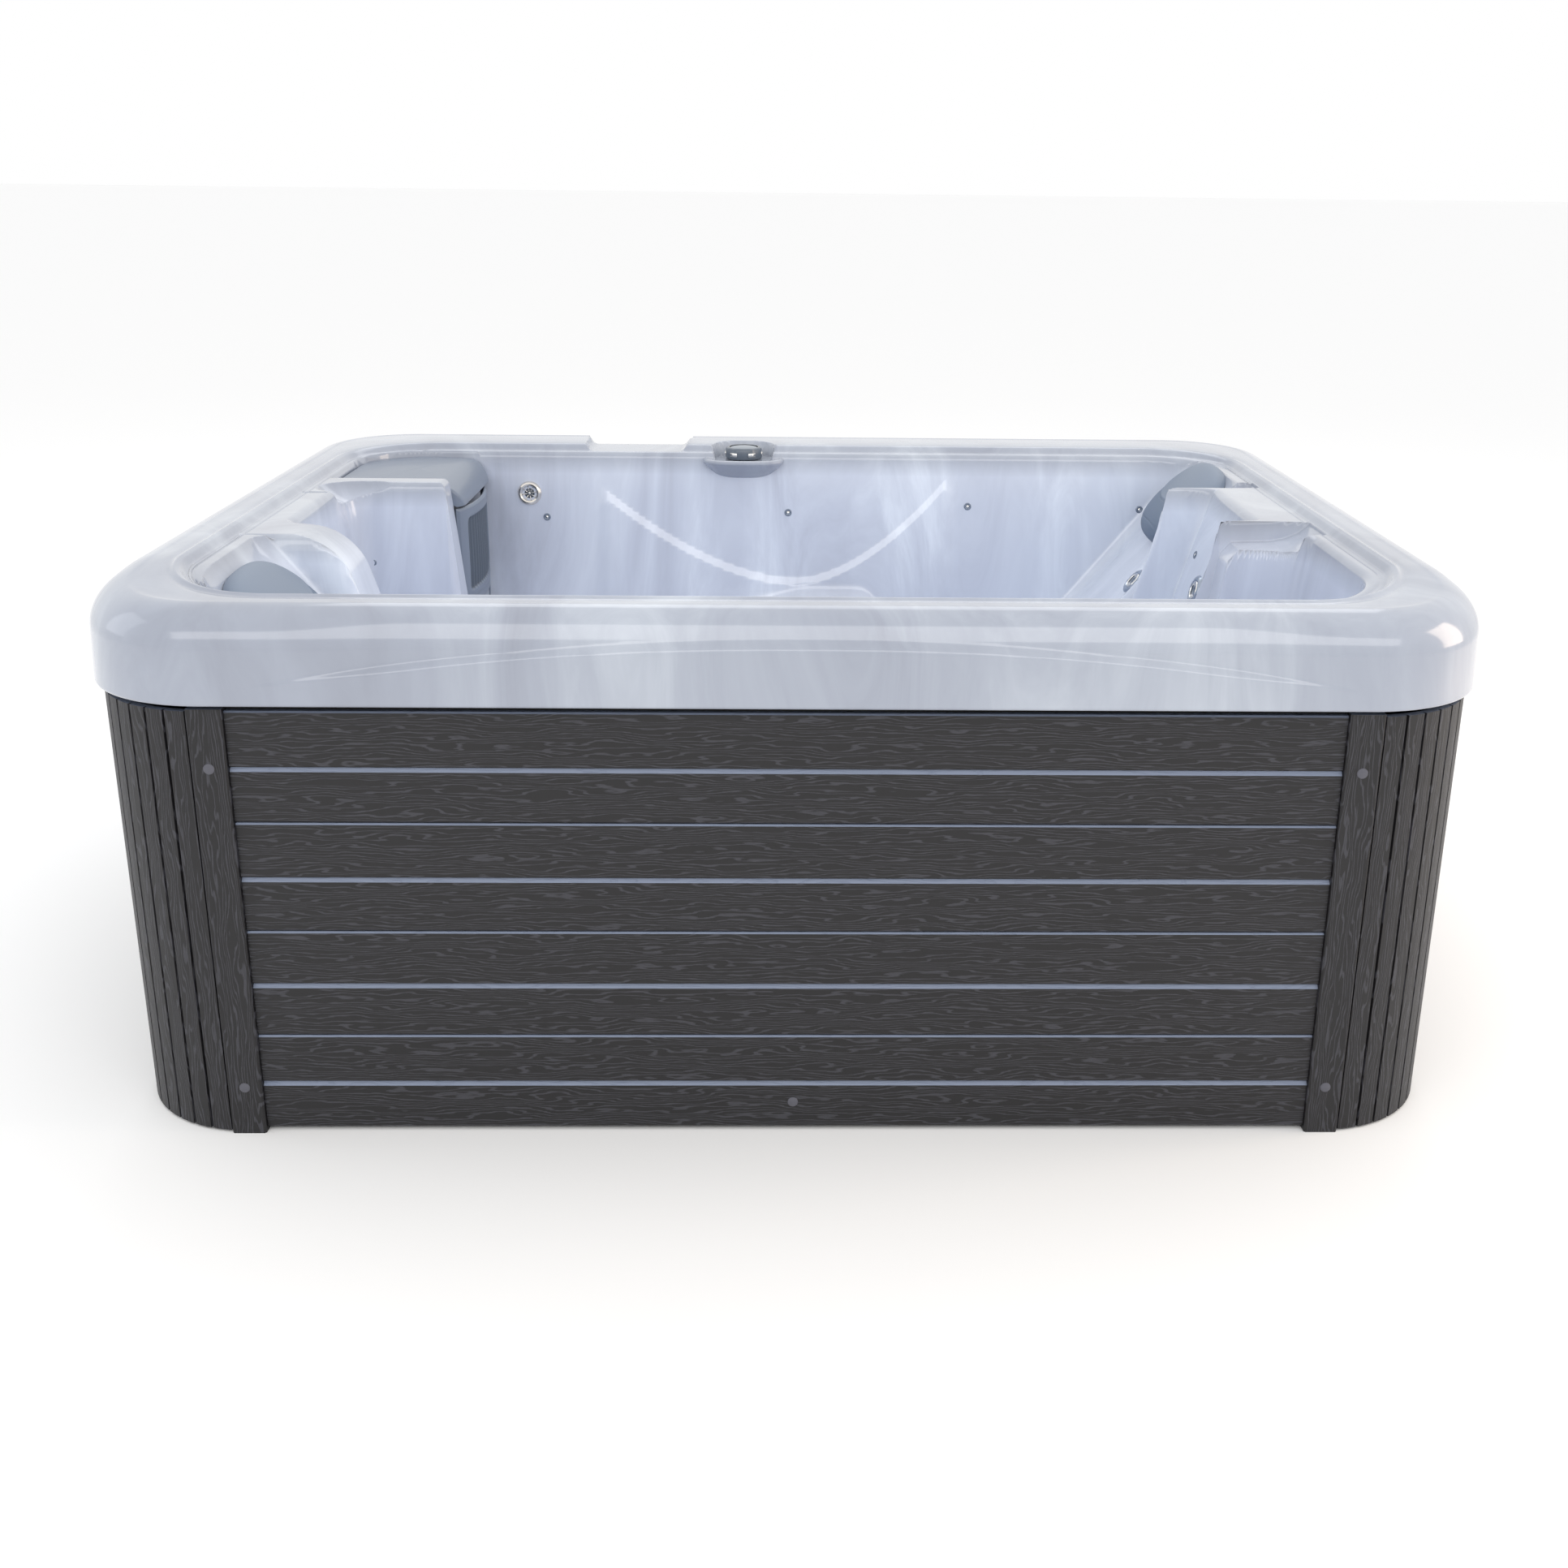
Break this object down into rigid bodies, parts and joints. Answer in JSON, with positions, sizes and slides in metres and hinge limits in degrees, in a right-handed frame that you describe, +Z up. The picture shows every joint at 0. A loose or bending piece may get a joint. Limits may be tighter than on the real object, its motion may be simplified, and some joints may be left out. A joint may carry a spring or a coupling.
{
  "type": "hot tub",
  "caption": "Rectangular acrylic hot tub with two opposed loungers, a corner filter compartment and a board-clad cabinet.",
  "frame": {"origin": "on the floor under the middle of the tub", "axes": "+X along the long side to the right, +Y to the back (the filter and diverter side), +Z up"},
  "size_m": [2.1, 1.6, 0.85],
  "materials": {
    "acrylic": "glossy pearl white marbled with soft grey-blue streaks",
    "board": "charcoal, embossed wood grain, satin",
    "filter": "blue-grey satin moulded plastic",
    "pillow": "two-tone blue-grey soft foam skin",
    "knob": "dark blue-grey moulded plastic with bright inserts",
    "chrome": "polished stainless trim",
    "jet": "blue-grey plastic with a bright bezel",
    "pipework": "white pipe fittings",
    "steel": "brushed steel tube",
    "frame": "planed softwood",
    "base": "black moulded tray",
    "motor": "black painted housing",
    "paper": "white pleated filter cloth",
    "key": "light grey plastic"
  },
  "bodies": {
    "tub": {"shell": "acrylic", "front_board_1": "board", "front_board_2": "board", "front_board_3": "board", "front_board_4": "board", "front_post_a": "board", "front_post_b": "board", "front_frame": "frame", "back_board_1": "board", "back_board_2": "board", "back_board_3": "board", "back_board_4": "board", "back_post_a": "board", "back_post_b": "board", "back_frame": "frame", "left_board_1": "board", "left_board_2": "board", "left_board_3": "board", "left_board_4": "board", "left_post_a": "board", "left_post_b": "board", "left_frame": "frame", "right_board_1": "board", "right_board_2": "board", "right_board_3": "board", "right_board_4": "board", "right_post_a": "board", "right_post_b": "board", "right_frame": "frame", "front_left_corner": "board", "front_right_corner": "board", "back_left_corner": "board", "back_right_corner": "board", "base_pan": "base", "filter_front": "filter", "filter_cartridge": "paper", "backrest_jet_body": "pipework", "column_jet_body": "pipework", "return_body": "pipework", "suction_cover": "jet", "suction_fitting": "pipework", "diverter_valve": "pipework", "control_panel": "knob", "pump_motor": "motor", "pump_wet_end": "motor", "heater_tube": "steel", "control_box": "key"},
    "lid": {"filter_lid": "filter"},
    "weir": {"weir_door": "filter"},
    "front_pillow": {"front_headrest": "pillow"},
    "back_pillow": {"back_headrest": "pillow"},
    "backrest_jet": {"backrest_jet_face": "jet"},
    "column_jet": {"column_jet_face": "jet"},
    "return_eye": {"return_face": "chrome"},
    "knob": {"diverter_knob": "knob"},
    "key_1": {"control_key_1": "key"},
    "key_2": {"control_key_2": "key"},
    "key_3": {"control_key_3": "key"}
  },
  "joints": [
    {"name": "filter_lid_lift", "type": "slide", "parent": "tub", "child": "lid", "axis": [0, 0, 1], "range_m": [0, 0.12]},
    {"name": "weir_hinge", "type": "hinge", "parent": "tub", "child": "weir", "pos_m": [-0.665, 0.4, 0.497], "axis": [0, -1, 0], "range_deg": [0, 65], "stiffness_Nm_per_rad": 0.3},
    {"name": "front_headrest_pull", "type": "slide", "parent": "tub", "child": "front_pillow", "axis": [0.7544, 0, 0.6564], "range_m": [0, 0.05]},
    {"name": "back_headrest_pull", "type": "slide", "parent": "tub", "child": "back_pillow", "axis": [-0.7544, 0, 0.6564], "range_m": [0, 0.05]},
    {"name": "backrest_jet_turn", "type": "hinge", "parent": "tub", "child": "backrest_jet", "pos_m": [0.71121, 0.318, 0.621], "axis": [-0.7544, 0, 0.6564], "range_deg": [0, 150]},
    {"name": "column_jet_turn", "type": "hinge", "parent": "tub", "child": "column_jet", "pos_m": [0.77733, 0.06, 0.665], "axis": [-0.9566, 0, 0.2913], "range_deg": [0, 150]},
    {"name": "return_turn", "type": "hinge", "parent": "tub", "child": "return_eye", "pos_m": [-0.575, 0.5742, 0.748], "axis": [0, -0.9929, 0.1191], "range_deg": [0, 90]},
    {"name": "diverter_turn", "type": "hinge", "parent": "tub", "child": "knob", "pos_m": [-0.108, 0.615, 0.822], "axis": [0, 0, 1], "range_deg": [-90, 90]},
    {"name": "key_1_press", "type": "slide", "parent": "tub", "child": "key_1", "axis": [0, -0.5, -0.866], "range_m": [0, 0.0012], "stiffness_N_per_m": 600},
    {"name": "key_2_press", "type": "slide", "parent": "tub", "child": "key_2", "axis": [0, -0.5, -0.866], "range_m": [0, 0.0012], "stiffness_N_per_m": 600},
    {"name": "key_3_press", "type": "slide", "parent": "tub", "child": "key_3", "axis": [0, -0.5, -0.866], "range_m": [0, 0.0012], "stiffness_N_per_m": 600}
  ]
}
